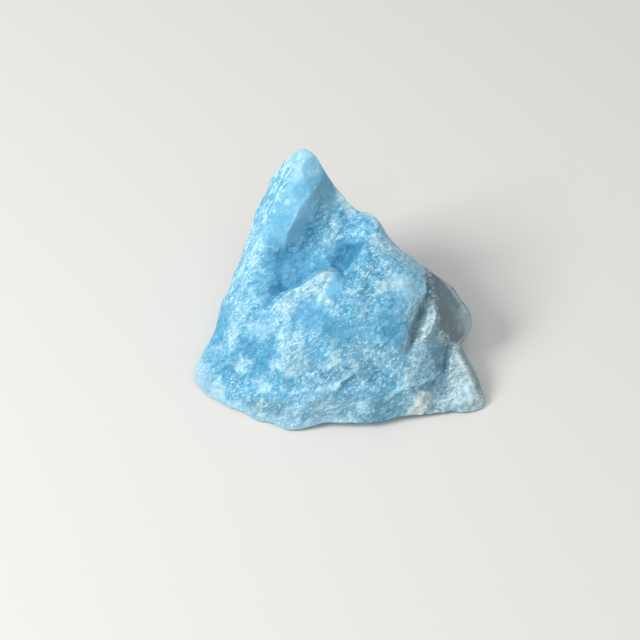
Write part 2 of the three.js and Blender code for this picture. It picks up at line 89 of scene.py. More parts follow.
# Rounds of spreading: of the soft walls, of the near shape, which has lost its grain, and of the
# wide shape, which keeps the large forms alone.
EASING_ROUNDS, NEAR_ROUNDS, WIDE_ROUNDS = 40, 6, 60

# How far a crest stands above the near shape, and how deep the near shape lies below the wide one
# in a hollow: from none to full, in millimetres. Crests get a painted highlight and hollows painted
# shade by these.
CREST_HIGHLIGHT_RISE, HOLLOW_SHADE_DEPTH = (0.01, 0.06), (0.0, 0.5)

# Cleavage flakes lie along this slant of the broad face, and growth lines along that of the horn.
# Both are longer than they are wide, by these numbers of times.
GRAIN_LEAN, GROWTH_LEAN = math.radians(45), math.radians(62)
FLAKE_STRETCH, LINE_STRETCH = 2.4, 6.0

# Broken relief: cell in millimetres, slope as rise over run, seam in millimetres, and seed.
CHIPS = ((2.6, 0.12, 0.52, 40), (1.3, 0.12, 0.156, 47), (0.62, 0.1, 0.0434, 54))
FLAKES = (0.7, 0.1, 0.05, 90)
CRUMBS = (0.7, 0.28, 0.05, 120)

# Growth lines are noise, given by their width in millimetres and seed. Their height and that of
# the foot's lip are in millimetres too.
GROWTH_LINES = (0.5, 130)
LINE_HEIGHT, LIP_HEIGHT = 0.07, 0.2

# The share of their height that flakes have behind, the share of its grain that a waxy break has
# lost, and the tones between which crumbs come in.
BACK_SHARE, WAXY_LOSS = 0.3, 0.88
CRUMB_TONES = (0.3, 0.55)

# The marks that the skin hands to its material, which are numbers at each of its points.
MARKS = ("tone", "waxy", "glint", "grey", "cream", "streak", "crest_highlight", "hollow_shade")


# ---------------------------------------------------------------------------------------------
# The skin as arrays
# ---------------------------------------------------------------------------------------------

def merged_copy(node):
    """Points and triangles of a node, with the points that share a place made one.

    Places are rounded to whole steps, and each place that is left keeps its first point.
    """
    mesh = node.data
    corners = np.empty(len(mesh.vertices) * 3)
    mesh.vertices.foreach_get("co", corners)
    mesh.calc_loop_triangles()
    triangles = np.empty(len(mesh.loop_triangles) * 3, np.int64)
    mesh.loop_triangles.foreach_get("vertices", triangles)
    corners = corners.reshape(-1, 3)
    _, first, place = np.unique(
        np.round(corners * ROUNDING), axis=0, return_index=True, return_inverse=True
    )
    triangles = place.reshape(-1)[triangles].reshape(-1, 3)
    whole = (triangles != np.roll(triangles, 1, axis=1)).all(axis=1)
    return corners[first], triangles[whole]


def face_arrows(points, triangles):
    """Cross product of two sides of each triangle, which points out of the stone."""
    a, b, c = points[triangles].transpose(1, 0, 2)
    return np.cross(b - a, c - a)


def unit(arrows):
    """Arrows at length one."""
    return arrows / np.maximum(np.linalg.norm(arrows, axis=1, keepdims=True), TINY)


def point_normals(points, triangles):
    """Sum of the cross products round each point, at length one."""
    arrows = face_arrows(points, triangles)
    total = np.stack(
        [np.bincount(triangles.ravel(), np.repeat(arrows[:, i], 3), len(points)) for i in range(3)],
        axis=1,
    )
    return unit(total)


def edges_of(triangles, count):
    """Each edge once, its two far corners and two triangles, and the edge of each triangle side.

    A side from a to b has the key low * count + high, so both of its triangles give one key.
    """
    start, end = triangles.ravel(), np.roll(triangles, -1, axis=1).ravel()
    far = np.roll(triangles, -2, axis=1).ravel()
    keys = np.minimum(start, end) * count + np.maximum(start, end)
    order = np.argsort(keys, kind="stable")
    pairs = order.reshape(-1, 2)
    ends = np.stack([start[pairs[:, 0]], end[pairs[:, 0]]], axis=1)
    side_edge = np.empty(len(keys), np.int64)
    side_edge[pairs.ravel()] = np.repeat(np.arange(len(pairs)), 2)
    return ends, far[pairs], pairs // 3, side_edge.reshape(-1, 3)


def divided(points, triangles):
    """One round of Loop's division, with edges that stay crisp where the stone broke sharply.

    A smooth edge point is 3/8 of its ends and 1/8 of the far corners, and a crisp one is the
    middle. A smooth old point moves 3/8 of the way to its neighbours' mean, and a crisp one
    moves 1/4 of the way to the mean of its crisp neighbours. The angle at an edge mixes the two.
    """
    count = len(points)
    ends, far, beside, side_edge = edges_of(triangles, count)
    normals = unit(face_arrows(points, triangles))
    angle = np.arccos(np.clip((normals[beside[:, 0]] * normals[beside[:, 1]]).sum(axis=1), -1, 1))
    crisp = smooth_step(angle, SOFT_ANGLE, CRISP_ANGLE)[:, None]

    middle = points[ends].mean(axis=1)
    smooth = points[ends].sum(axis=1) * 0.375 + points[far].sum(axis=1) * 0.125
    edge_points = smooth * (1 - crisp) + middle * crisp

    def gathered(weights):
        """Weighted sum of each point's neighbours, and the sum of the weights."""
        both, other = ends.ravel(), ends[:, ::-1].ravel()
        weight = np.repeat(weights, 2)
        total = np.bincount(both, weight, count)
        sums = [np.bincount(both, weight * points[other, i], count) for i in range(3)]
        return np.stack(sums, axis=1), total[:, None]

    around, number = gathered(np.ones(len(ends)))
    on_crease, crease = gathered(crisp[:, 0])
    smooth_old = points * 0.625 + around / number * 0.375
    crease_old = points * 0.75 + on_crease / np.maximum(crease, TINY) * 0.25
    amount = np.clip(crease / 2, 0, 1)
    moved = smooth_old * (1 - amount) + crease_old * amount

    ab, bc, ca = (side_edge + count).T
    a, b, c = triangles.T
    pieces = [(a, ab, ca), (ab, b, bc), (ca, bc, c), (ab, bc, ca)]
    finer = np.stack([np.stack(piece, axis=1) for piece in pieces], axis=1).reshape(-1, 3)
    return np.concatenate([moved, edge_points]), finer, ends


def spread(values, triangles, rounds):
    """Values replaced by the mean of their neighbours, again and again."""
    both = np.tile(triangles.ravel(), 2)
    other = np.concatenate([np.roll(triangles, step, axis=1).ravel() for step in (-1, 1)])
    number = np.bincount(both, minlength=len(values))
    columns = values.reshape(len(values), -1)
    for _ in range(rounds):
        columns = np.stack(
            [np.bincount(both, column[other], len(values)) / number for column in columns.T], axis=1
        )
    return columns.reshape(values.shape)


# ---------------------------------------------------------------------------------------------
# Shapes of numbers: steps, noise, chips and marks
# ---------------------------------------------------------------------------------------------

def smooth_step(value, start, stop):
    """0 before start, 1 after stop, and 3t^2 - 2t^3 between them."""
    t = np.clip((value - start) / (stop - start), 0, 1)
    return t * t * (3 - 2 * t)


def cell_random(cells, seed):
    """Repeatable numbers from 0 to 1 for whole-number cells, by mixing their bits.

    Each coordinate is XORed into the number so far, which is multiplied by a large odd number and
    XORed with itself, shifted by 29 bits. The top 24 of the 64 bits are the result.
    """
    seed_step, seed_start, factor = 0x9E3779B1, 0x7F4A7C15, np.uint64(0xBF58476D1CE4E5B9)
    mixed = np.full(cells.shape[:-1], seed * seed_step + seed_start, np.uint64)
    for i in range(3):
        mixed = (mixed ^ cells[..., i].astype(np.int64).view(np.uint64)) * factor
        mixed ^= mixed >> np.uint64(29)
    return (mixed >> np.uint64(40)).astype(float) / float(1 << 24)


def soft_noise(places, size, seed):
    """Random numbers on a lattice of that size, blended between its corners; -1 to 1."""
    scaled = places / size
    corner = np.floor(scaled)
    part = scaled - corner
    part = part * part * (3 - 2 * part)
    total = np.zeros(len(places))
    for step in np.ndindex(2, 2, 2):
        weight = np.prod(np.where(step, part, 1 - part), axis=1)
        total += weight * cell_random(corner + step, seed)
    return total * 2 - 1


def chip_height(places, size, slope, seam, seed):
    """Height of a surface broken into chips, in the units of places.

    Each cell of a loose lattice holds one chip: a plane through its centre with its own tilt.
    A point takes the plane of its nearest chip, run into the next ones over the seam's width.
    """
    cell = np.floor(places / size)
    reach, heights = [], []
    for step in np.ndindex(3, 3, 3):
        here = cell + step - 1
        random = [cell_random(here, seed + i) for i in range(6)]
        offset = places - (here + np.stack(random[:3], axis=1)) * size
        tilt = np.stack(random[3:], axis=1) - 0.5
        tilt *= slope / np.linalg.norm(tilt, axis=1, keepdims=True)
        reach.append(np.linalg.norm(offset, axis=1))
        heights.append((offset * tilt).sum(axis=1))
    reach, heights = np.array(reach), np.array(heights)
    weight = np.exp((reach.min(axis=0) - reach) / seam)
    return (weight * heights).sum(axis=0) / weight.sum(axis=0)


def on_front(points):
    """Right, up and relief of points on the leaning front plane, in millimetres."""
    x, y, z = ((points - FRONT_FOOT) / MM).T
    up = y * math.sin(FACE_TILT) + z * math.cos(FACE_TILT)
    relief = z * math.sin(FACE_TILT) - y * math.cos(FACE_TILT)
    return np.stack([x, up, relief], axis=1)


def frontness(normals):
    """1 where a normal looks to the side of the front plane that faces out, and 0 behind."""
    lean = np.array((0, -math.cos(FACE_TILT), math.sin(FACE_TILT)))
    return smooth_step(normals @ lean, BEHIND, IN_FRONT)


def stroke(plane, line, width, ragged):
    """1 along a line on the front plane, fading to 0 between 0.45 of the width and the width.

    The width is the one to each side, in millimetres. The distance is the least one to the line's
    stretches, and noise with cells of 0.9 and 0.4 mm shifts it by up to the ragged share of it.
    """
    flat = plane[:, :2]
    reach = np.full(len(plane), np.inf)
    for start, end in zip(line[:-1], line[1:]):
        start, along = np.array(start, float), np.subtract(end, start).astype(float)
        part = np.clip(((flat - start) @ along) / max(along @ along, TINY), 0, 1)
        reach = np.minimum(reach, np.linalg.norm(flat - start - part[:, None] * along, axis=1))
    rough = soft_noise(plane, 0.9, 5) * 0.6 + soft_noise(plane, 0.4, 6) * 0.4
    return 1 - smooth_step(reach + rough * ragged * width, width * 0.45, width)


def inside(plane, corners, soft, ragged):
    """1 inside an outline on the front plane and 0 outside it, with a soft ragged edge.

    A point is inside where a line to its right crosses the outline an odd number of times. Its
    distance is the least one to the outline's sides, and noise with cells of 1.1 and 0.45 mm
    shifts it by up to the ragged height. The edge runs from soft outside to soft inside.
    """
    flat = plane[:, :2]
    reach = np.full(len(plane), np.inf)
    crossings = np.zeros(len(plane), int)
    corners = np.array(corners)
    for start, end in zip(corners, np.roll(corners, -1, axis=0)):
        along, offset = end - start, flat - start
        part = np.clip((offset @ along) / (along @ along), 0, 1)
        reach = np.minimum(reach, np.linalg.norm(offset - part[:, None] * along, axis=1))
        spans = (flat[:, 1] < start[1]) != (flat[:, 1] < end[1])
        side = (offset[:, 0] * along[1] - offset[:, 1] * along[0]) * np.sign(along[1])
        crossings += spans & (side < 0)
    depth = np.where(crossings % 2, reach, -reach)
    rough = soft_noise(plane, 1.1, 5) * 0.5 + soft_noise(plane, 0.45, 6) * 0.5
    return smooth_step(depth + rough * ragged, -soft, soft)


def patches(plane, places):
    """The strongest of several ragged spots, each a centre and a half-width in millimetres.

    Noise with cells of 1.9 and 0.7 mm pushes the places about first, so that no spot is round.
    """
    push = [
        soft_noise(plane, 1.9, seed) * 0.8 + soft_noise(plane, 0.7, seed + 1) * 0.5
        for seed in (31, 33, 35)
    ]
    plane = plane + np.stack(push, axis=1)
    total = np.zeros(len(plane))
    for right, up, width in places:
        total = np.maximum(total, stroke(plane, [(right, up), (right, up)], width, 0.6))
    return total


# ---------------------------------------------------------------------------------------------
# Where the stone differs from place to place
# ---------------------------------------------------------------------------------------------

# What a face of the stone is like. Tone goes from -1, deep blue, to 1, nearly white. Waxy is how
# smooth the break is, glint how many bright flakes it has, which are partly white fractures and
# partly painted glints, and grey and cream how far its colour leaves the blue. Soft and ragged
# describe its outline, in millimetres.
Face = namedtuple("Face", "tone waxy glint grey cream soft ragged corners")

FACES = {
    # The horn: a bright waxy face, a step below its ridge and a thin pale edge on its right.
    "horn": Face(-0.14, 1, 0.2, 0.05, 0, 0.25, 0.1, [
        (1.0, 37.5), (3.4, 37.0), (4.6, 35.0), (5.2, 33.4), (3.9, 32.4), (2.9, 31.3), (1.8, 30.4),
        (1.0, 29.0), (0.4, 27.8), (-0.2, 25.8), (-0.7, 24.8), (-3.8, 24.6), (-4.4, 27.0),
        (-3.2, 30.4), (-1.8, 33.2), (-0.8, 35.4)]),
    "tip": Face(0.35, 1, 0.25, 0.05, 0, 1.0, 0.1, [
        (-0.6, 35.6), (1.0, 37.5), (3.4, 37.0), (4.9, 34.4), (3.6, 33.0), (1.4, 32.6),
        (-0.6, 33.6)]),
    "step": Face(0.2, 1, 0.1, 0, 0, 0.2, 0.1, [
        (2.9, 31.3), (3.2, 30.2), (2.6, 28.8), (2.5, 27.8), (2.1, 26.2), (1.4, 24.6), (-0.7, 24.8),
        (-0.2, 25.8), (0.4, 27.8), (1.0, 29.0), (1.8, 30.4)]),
    "ridge side": Face(-0.02, 0.8, 0.2, 0.25, 0, 0.3, 0.2, [
        (5.2, 33.4), (5.8, 32.4), (6.2, 31.0), (6.4, 29.8), (5.3, 29.2), (3.2, 29.9), (2.9, 31.3),
        (3.9, 32.4)]),
    "pale edge": Face(0.55, 0.5, 0.4, 0.2, 0.1, 0.3, 0.3, [
        (5.8, 33.2), (6.8, 32.0), (8.6, 29.8), (8.6, 28.6), (8.0, 28.0), (7.1, 28.5), (6.4, 30.0),
        (6.0, 31.3)]),

    # The hollow behind the ledge, painted darker as shade in its recesses as well as deeper blue,
    # darkest in its cave and at the pit's right-hand wall.
    "upper hollow": Face(-0.06, 0.1, 0.7, 0, 0, 0.9, 0.6, [
        (3.2, 29.9), (5.3, 29.2), (6.8, 29.0), (7.6, 27.2), (7.4, 25.4), (5.4, 24.6), (3.6, 23.4),
        (1.5, 24.7), (2.2, 26.4), (2.6, 28.2)]),
    "left hollow": Face(-0.34, 0.4, 0.2, 0, 0, 1.4, 0.5, [
        (-3.2, 24.5), (0.2, 23.9), (2.6, 22.8), (2.4, 21.2), (0.2, 19.8), (-1.9, 18.2),
        (-3.2, 18.5), (-3.7, 20.9), (-3.9, 22.9)]),
    "cave": Face(-1.0, 0.4, 0, 0.1, 0, 0.2, 0.2, [
        (-2.8, 18.9), (-1.2, 19.3), (-0.4, 18.8), (-1.4, 17.9), (-2.6, 17.9)]),
    "pit": Face(-0.4, 0.5, 0.3, 0.1, 0, 0.6, 0.4, [
        (5.8, 24.0), (7.2, 25.0), (8.6, 24.4), (9.9, 24.8), (8.6, 22.6), (7.2, 20.9), (6.2, 21.4),
        (5.2, 22.2)]),
    "pit wall": Face(-1.0, 0.9, 0, 0.1, 0, 0.15, 0.1, [
        (7.4, 24.6), (8.8, 24.6), (9.9, 24.8), (8.6, 22.6), (7.2, 20.9), (7.4, 22.6)]),

    # The ledge: white and cream crumbs along its crest, and a waxy face under its end.
    "ledge crumbs": Face(0.12, 0, 1.0, 0.05, 0.15, 0.6, 1.0, [
        (-1.2, 17.8), (0.6, 18.7), (2.4, 20.1), (4.0, 21.0), (5.6, 21.1), (5.6, 20.2), (4.8, 18.8),
        (3.4, 17.4), (2.2, 17.2), (0.6, 16.2), (-0.8, 15.4), (-2.0, 16.4)]),
    "ledge face": Face(0.12, 1, 0.1, 0, 0, 0.15, 0.1, [
        (5.6, 20.9), (6.2, 21.1), (7.1, 19.8), (6.8, 18.6), (6.0, 18.1), (3.6, 16.8), (4.7, 18.4),
        (5.4, 19.6)]),

    # The slab, with its white top and its grey back, and the broad face's pale right border.
    "slab": Face(-0.15, 0, 0.9, 0, 0, 0.5, 0.4, [
        (7.4, 20.6), (9.0, 22.8), (10.8, 25.6), (12.8, 25.6), (15.4, 22.8), (16.4, 20.4),
        (13.0, 17.0), (8.6, 17.4)]),
    "slab top": Face(0.6, 0, 1.0, 0.05, 0.1, 0.5, 0.6, [
        (10.4, 25.0), (11.6, 26.2), (13.2, 25.2), (14.0, 23.6), (12.6, 23.4), (11.2, 23.8)]),
    "slab back": Face(0.3, 0.7, 0.3, 0.5, 0, 0.3, 0.3, [
        (9.4, 29.4), (11.3, 28.6), (13.0, 26.4), (14.6, 24.2), (13.4, 24.2), (12.0, 26.0),
        (10.8, 27.5), (9.6, 28.4)]),
    "upper border": Face(0.3, 0.5, 0.5, 0.35, 0, 0.5, 0.4, [
        (13.8, 24.4), (16.6, 22.8), (18.3, 21.0), (17.7, 19.8), (16.4, 20.6), (15.0, 21.8),
        (13.9, 22.8)]),
    "right border": Face(0.45, 0.5, 0.35, 0.25, 0, 0.9, 0.5, [
        (13.2, 20.6), (15.3, 20.6), (16.8, 20.4), (17.8, 19.0), (17.5, 17.4), (16.8, 15.6),
        (15.3, 15.0), (15.0, 16.8), (14.3, 18.0), (13.2, 19.0)]),

    # The right-hand side: a groove painted greyer as shade, a smooth grey shoulder painted dark as
    # shade and as dark ground showing through it, with a painted sheen on its right, a cream rib, a
    # grainy cheek, and a dark spot painted grey as shade in its hollow.
    "groove": Face(-0.08, 0.4, 0.3, 0.7, 0, 1.0, 0.7, [
        (16.9, 17.8), (18.4, 17.6), (18.8, 15.6), (18.4, 14.2), (17.8, 13.0), (17.2, 11.8),
        (16.2, 10.6), (14.6, 10.9), (14.6, 12.7), (15.4, 14.2), (16.2, 15.8)]),
    "shoulder": Face(-0.35, 0.9, 0.12, 1.0, 0, 0.3, 0.3, [
        (17.8, 22.0), (19.6, 21.2), (21.8, 19.8), (23.4, 17.8), (24.8, 15.4), (25.0, 13.8),
        (23.6, 12.0), (22.4, 11.2), (21.2, 10.9), (19.9, 12.0), (18.8, 13.2), (19.2, 15.4),
        (18.8, 17.3), (18.2, 18.8), (17.9, 20.2)]),
    # A painted sheen: a reflection on the shoulder's right-hand part.
    "shoulder sheen": Face(0.12, 0.95, 0.1, 0.95, 0, 1.0, 0.4, [
        (22.2, 16.0), (23.6, 16.6), (24.6, 14.6), (23.6, 12.8), (22.4, 13.4)]),
    "rib": Face(-0.25, 0, 0.8, 0.3, 0.8, 0.15, 0.7, [
        (18.6, 16.6), (19.3, 16.2), (19.4, 15.2), (19.0, 14.6), (18.9, 13.6), (18.7, 12.6),
        (17.8, 11.9), (16.4, 11.4), (15.8, 12.0), (16.2, 13.2), (16.9, 14.5), (17.7, 15.5)]),
    "cheek": Face(0.12, 0, 1.0, 0.28, 0, 0.4, 0.4, [
        (16.4, 11.6), (17.8, 11.9), (18.6, 11.2), (18.6, 9.6), (19.6, 8.2), (18.8, 6.8),
        (17.0, 5.9), (15.2, 5.6), (14.8, 7.0), (15.4, 9.0), (15.6, 10.4)]),
    "dark spot": Face(-0.1, 0.6, 0.3, 0.6, 0, 1.1, 0.8, [
        (18.8, 13.4), (19.5, 13.0), (20.4, 12.0), (21.0, 10.6), (20.5, 9.0), (19.6, 8.0),
        (18.6, 9.6), (18.3, 11.4)]),
    "cheek foot": Face(0.0, 0.2, 0.6, 0.55, 0, 0.4, 0.4, [
        (14.6, 5.0), (16.9, 5.8), (18.6, 6.4), (20.2, 7.6), (20.9, 9.4), (21.1, 6.6), (20.4, 5.2),
        (19.4, 3.8), (18.6, 2.2), (17.6, 1.4), (13.6, 1.0), (13.0, 2.8)]),

    # The grey and cream toe, whose far side is painted darker and brownish as shade and as a
    # reflection of the ground, the deep blue foot in front and the cream one beside the toe.
    "toe": Face(0.0, 0, 0.7, 0.75, 0.45, 0.25, 0.5, [
        (21.7, 10.8), (23.2, 10.4), (25.2, 7.6), (26.6, 4.2), (26.0, 2.6), (24.2, 2.0), (22.0, 2.0),
        (21.8, 3.7), (21.5, 5.7), (21.0, 7.0), (21.0, 9.2)]),
    # The toe's far side: painted shade and a painted brownish reflection of the ground below.
    "toe back": Face(-0.25, 0.5, 0.1, 1.0, 0.6, 0.15, 0.2, [
        (21.9, 11.5), (23.2, 11.2), (25.4, 8.0), (27.0, 4.4), (25.8, 4.4), (24.3, 7.4),
        (22.7, 9.9)]),
    "toe foot": Face(0.1, 0.1, 0.9, 0.7, 0, 0.5, 0.5, [
        (19.4, 6.6), (20.9, 6.8), (21.9, 5.2), (22.8, 4.2), (23.2, 1.8), (17.8, 1.4), (18.8, 4.0)]),
    "front foot": Face(-0.35, 0.3, 0.6, 0.3, 0.15, 0.8, 0.7, [
        (-7.4, 3.4), (-4.4, 4.6), (0.0, 4.0), (5.0, 5.0), (10.0, 4.6), (14.0, 5.0), (16.0, 2.0),
        (12.0, 0.6), (2.0, -0.6), (-4.0, 0.6)]),
    "cream foot": Face(0.95, 0, 0.6, 0.1, 0.75, 0.3, 0.5, [
        (16.8, 5.3), (18.5, 5.0), (18.8, 4.1), (18.1, 2.9), (17.6, 1.8), (14.6, 1.2), (15.8, 2.9),
        (16.4, 4.1)]),

    # The broad face's left half: two waxy pale patches, two deep ones and a patch of white flakes.
    "left foot": Face(0.0, 0.7, 0.3, 0.3, 0, 0.9, 0.5, [
        (-13.2, 9.6), (-11.4, 9.2), (-10.4, 7.0), (-9.6, 5.4), (-7.0, 3.8), (-5.0, 2.8),
        (-6.0, 1.8), (-10.0, 3.4), (-12.6, 5.4), (-13.4, 7.4)]),
    "lilac": Face(0.22, 0.7, 0.2, 0.15, 0, 0.4, 0.4, [
        (-5.8, 13.9), (-3.2, 14.2), (-2.4, 12.9), (-3.4, 12.2), (-5.0, 12.4)]),
    "deep left": Face(-0.5, 0.2, 0.35, 0, 0, 0.5, 0.8, [
        (-3.2, 12.5), (-1.6, 12.0), (-1.8, 10.7), (-2.6, 8.4), (-3.9, 8.1), (-4.9, 9.4),
        (-5.8, 10.0), (-6.8, 11.2), (-4.9, 11.7)]),
    "deep middle": Face(-0.32, 0.5, 0.15, 0, 0, 0.6, 0.6, [
        (0.9, 17.0), (4.4, 16.3), (5.3, 14.2), (7.9, 12.9), (7.4, 11.8), (4.4, 12.8), (1.8, 13.3),
        (0.9, 15.0)]),
    "white flakes": Face(0.32, 0, 0.8, 0.05, 0.12, 0.5, 1.2, [
        (-1.4, 11.2), (0.4, 12.2), (2.0, 11.8), (1.4, 9.8), (1.7, 8.0), (0.2, 7.0), (-1.2, 7.8),
        (-2.6, 8.6), (-1.4, 9.8)]),
}

# Spots: right, up and half-width.
DEEP_SPOTS = [
    (7.4, 13.2, 2.4), (10.4, 20.6, 2.0), (12.4, 12.4, 2.0), (1.0, 6.8, 1.4), (5.2, 7.4, 1.4),
    (11.0, 6.8, 2.0), (-5.8, 10.4, 1.6), (7.8, 15.6, 1.3), (-8.8, 8.0, 1.6), (-3.2, 16.6, 1.4),
]
WHITE_SPOTS = [
    (-0.6, 12.9, 0.9), (5.5, 9.6, 1.0), (8.6, 8.0, 0.9), (-7.6, 12.8, 1.7), (-6.2, 8.6, 1.4),
    (-0.4, 15.6, 1.2), (12.4, 19.0, 1.5), (-5.1, 19.1, 0.5), (-0.3, 29.8, 0.6), (-1.8, 30.6, 0.6),
    (3.9, 33.6, 0.4), (17.9, 16.9, 0.6), (23.2, 5.0, 1.6), (8.4, 18.4, 1.0), (-9.8, 5.2, 1.2),
    (9.6, 3.2, 1.4), (-2.4, 5.6, 1.2), (4.2, 17.2, 0.9),
]
CREAM_SPOTS = [
    (-3.7, 2.8, 1.1), (4.0, 3.9, 1.0), (5.4, 3.6, 0.7), (5.0, 20.4, 0.8), (3.2, 18.6, 0.9),
    (15.2, 7.2, 0.6), (18.0, 4.2, 0.8),
]

# The lower part of the broad face, which is streaked with flakes and greyer than the rest.
LOWER_FACE = [
    (0.5, 10.5), (4.0, 9.5), (8.0, 11.5), (12.0, 12.0), (14.5, 9.5), (14.2, 6.0), (10.0, 4.5),
    (5.0, 5.0), (1.0, 6.5),
]

# Pale lines: a veil in the hollow, the streaked left margin of the horn, the rims of the left foot
# and the shoulder, painted as light glowing through their thin edges, and the thin lip above the
# right-hand foot and the edges of cleavage steps, painted as highlights on their raised edges.
HOLLOW_VEIL = [(5.6, 27.8), (5.9, 26.3), (5.5, 24.6)]
HORN_MARGIN = [(-0.4, 35.6), (-2.4, 32.4), (-5.0, 26.6), (-6.4, 22.6), (-7.9, 18.6)]
LEFT_RIM_LIGHT = [
    (-12.6, 8.4), (-12.2, 6.0), (-9.0, 3.7), (-6.0, 2.3), (-2.0, 1.1), (1.0, 0.6), (8.0, 1.2),
]
SHOULDER_RIM_LIGHT = [
    (20.2, 20.0), (21.5, 18.5), (23.0, 16.3), (23.9, 14.7), (23.8, 13.3), (23.0, 12.1), (22.2, 11.3),
]
FOOT_LIP = [(12.5, 4.3), (14.4, 5.6), (15.7, 6.2), (16.9, 6.2), (18.2, 6.8), (19.7, 7.7)]
LIT_CLEAVAGE_EDGES = [
    [(4.4, 8.0), (6.6, 9.5)], [(6.4, 6.5), (7.7, 7.4)], [(0.0, 4.9), (2.2, 5.6)],
    [(5.6, 5.6), (6.6, 6.3)],
]

# Darker lines: the grainy seam and the gully between the rib and the shoulder, the gully painted
# dark as shade, the gaps under cleavage steps, painted as their shadow, and the crease between the
# cheek and the toe, painted dark as shade and pale again at its foot.
SEAM = [(18.6, 17.2), (19.0, 15.6), (19.2, 13.6), (20.0, 12.4), (21.0, 11.5), (22.0, 11.2)]
GULLY = [(18.3, 20.6), (18.6, 19.2), (18.9, 17.8)]
SHADOWED_CLEAVAGE_GAPS = [[(6.9, 6.3), (8.4, 7.3)], [(5.8, 4.9), (7.7, 6.2)]]
CREASE_SHADE = [(21.0, 10.9), (20.8, 9.4), (20.6, 8.6)]
CREASE_FOOT = [(20.2, 7.2), (19.6, 5.6), (18.8, 4.0)]

# Soft slopes, not steps: the pit's left-hand side, the hollow's, and the crease's lower end.
SOFT_WALLS = [
    [(4.4, 25.2), (6.4, 26.2), (9.4, 25.4), (9.2, 24.2), (8.2, 22.8), (7.1, 21.4), (6.4, 21.2),
     (5.2, 21.3), (4.0, 22.6)],
    [(-5.2, 25.4), (-1.6, 25.2), (-1.4, 21.5), (-2.0, 18.0), (-4.4, 17.8), (-5.2, 21.0)],
    [(19.2, 7.6), (20.9, 7.8), (20.8, 5.6), (19.8, 3.4), (17.9, 3.6), (18.6, 5.6)],
]


def eased(points, triangles):
    """Points with the soft walls smoothed.

    A point well inside a soft wall on the front moves to its spread place, and one near the
    wall's edge moves part of the way.
    """
    plane = on_front(points)
    walls = [inside(plane, corners, soft=0.8, ragged=0.2) for corners in SOFT_WALLS]
    amount = np.max(walls, axis=0)
    amount *= frontness(point_normals(points, triangles))
    return points + (spread(points, triangles, EASING_ROUNDS) - points) * amount[:, None]


def stone_marks(points, normals):
    """Strength of each kind of mark at each point of the skin.

    The back is calm, with soft clouds and an even scatter of glints. The front's faces, spots and
    lines are laid over one another in order, each drawing the marks towards values of its own.
    """
    plane = on_front(points)
    front = frontness(normals)
    cloud = soft_noise(plane, 5.0, 21) * 0.6 + soft_noise(plane, 2.4, 22) * 0.4
    marks = {
        "tone": 0.35 * cloud * (1 - front) - 0.12 * front,
        "waxy": np.zeros(len(points)),
        "glint": 0.4 + 0.4 * soft_noise(plane, 3.2, 23),
        "grey": 0.12 * (1 - front),
        "cream": np.zeros(len(points)),
    }

    def lay(strength, **values):
        """Draws the named marks towards the values by the strength, on the front alone."""
        for name, value in values.items():
            marks[name] += (value - marks[name]) * strength * front

    lay(inside(plane, LOWER_FACE, soft=1.5, ragged=1.2), tone=0.0, glint=0.85, grey=0.22)
    lay(patches(plane, DEEP_SPOTS) * 0.8, tone=-0.4)
    for face in FACES.values():
        values = face._asdict()
        corners, soft, ragged = values.pop("corners"), values.pop("soft"), values.pop("ragged")
        lay(inside(plane, corners, soft, ragged), **values)
    lay(stroke(plane, HOLLOW_VEIL, 0.6, 0.9) * 0.8, tone=0.45, grey=0.15)
    lay(patches(plane, WHITE_SPOTS), tone=0.5, cream=0.08)
    lay(patches(plane, CREAM_SPOTS) * 0.7, tone=0.4, cream=0.65)
    # Painted rim light along the outlines of the left foot and the shoulder.
    lay(stroke(plane, LEFT_RIM_LIGHT, 1.1, 0.5) * 0.7, tone=0.35, waxy=0.8, grey=0.35)
    lay(stroke(plane, SHOULDER_RIM_LIGHT, 0.3, 0.6) * 0.6, tone=0.3, grey=1, cream=0.4)
    lay(stroke(plane, SEAM, 0.65, 0.9), tone=0.0, waxy=0, glint=1, grey=0.75, cream=0.2)
    # Painted shade in the gully.
    lay(stroke(plane, GULLY, 0.8, 0.6) * 0.9, tone=-0.2, waxy=0.2, glint=0.9, grey=0.85)
    # Painted highlight along the raised lip.
    lay(stroke(plane, FOOT_LIP, 0.28, 0.7), tone=0.4)
    # Painted shade in the crease.
    lay(stroke(plane, CREASE_SHADE, 0.6, 0.4) * 0.8, tone=-0.5, grey=0.85)
    lay(stroke(plane, CREASE_FOOT, 0.8, 0.4) * 0.8, tone=0.45, grey=0.5)
    edges = np.max([stroke(plane, line, 0.32, 0.4) for line in LIT_CLEAVAGE_EDGES], axis=0)
    shadowed_gaps = np.max([stroke(plane, line, 0.36, 0.4) for line in SHADOWED_CLEAVAGE_GAPS], axis=0)
    # Painted highlight along the edges of cleavage steps.
    lay(edges * 0.9, tone=0.6)
    # Painted shadow in the gaps under cleavage steps.
    lay(shadowed_gaps * 0.7, tone=-0.5, glint=0.2)
    marks["lip"] = (stroke(plane, FOOT_LIP, 0.45, 0.5) + edges * 0.5 - shadowed_gaps * 0.35) * front
    marks["streak"] = stroke(plane, HORN_MARGIN, 2.5, 0.3) * front
    lay(marks["streak"] * 0.8, glint=0.9, waxy=0.4)
    marks["front"] = front
    return marks


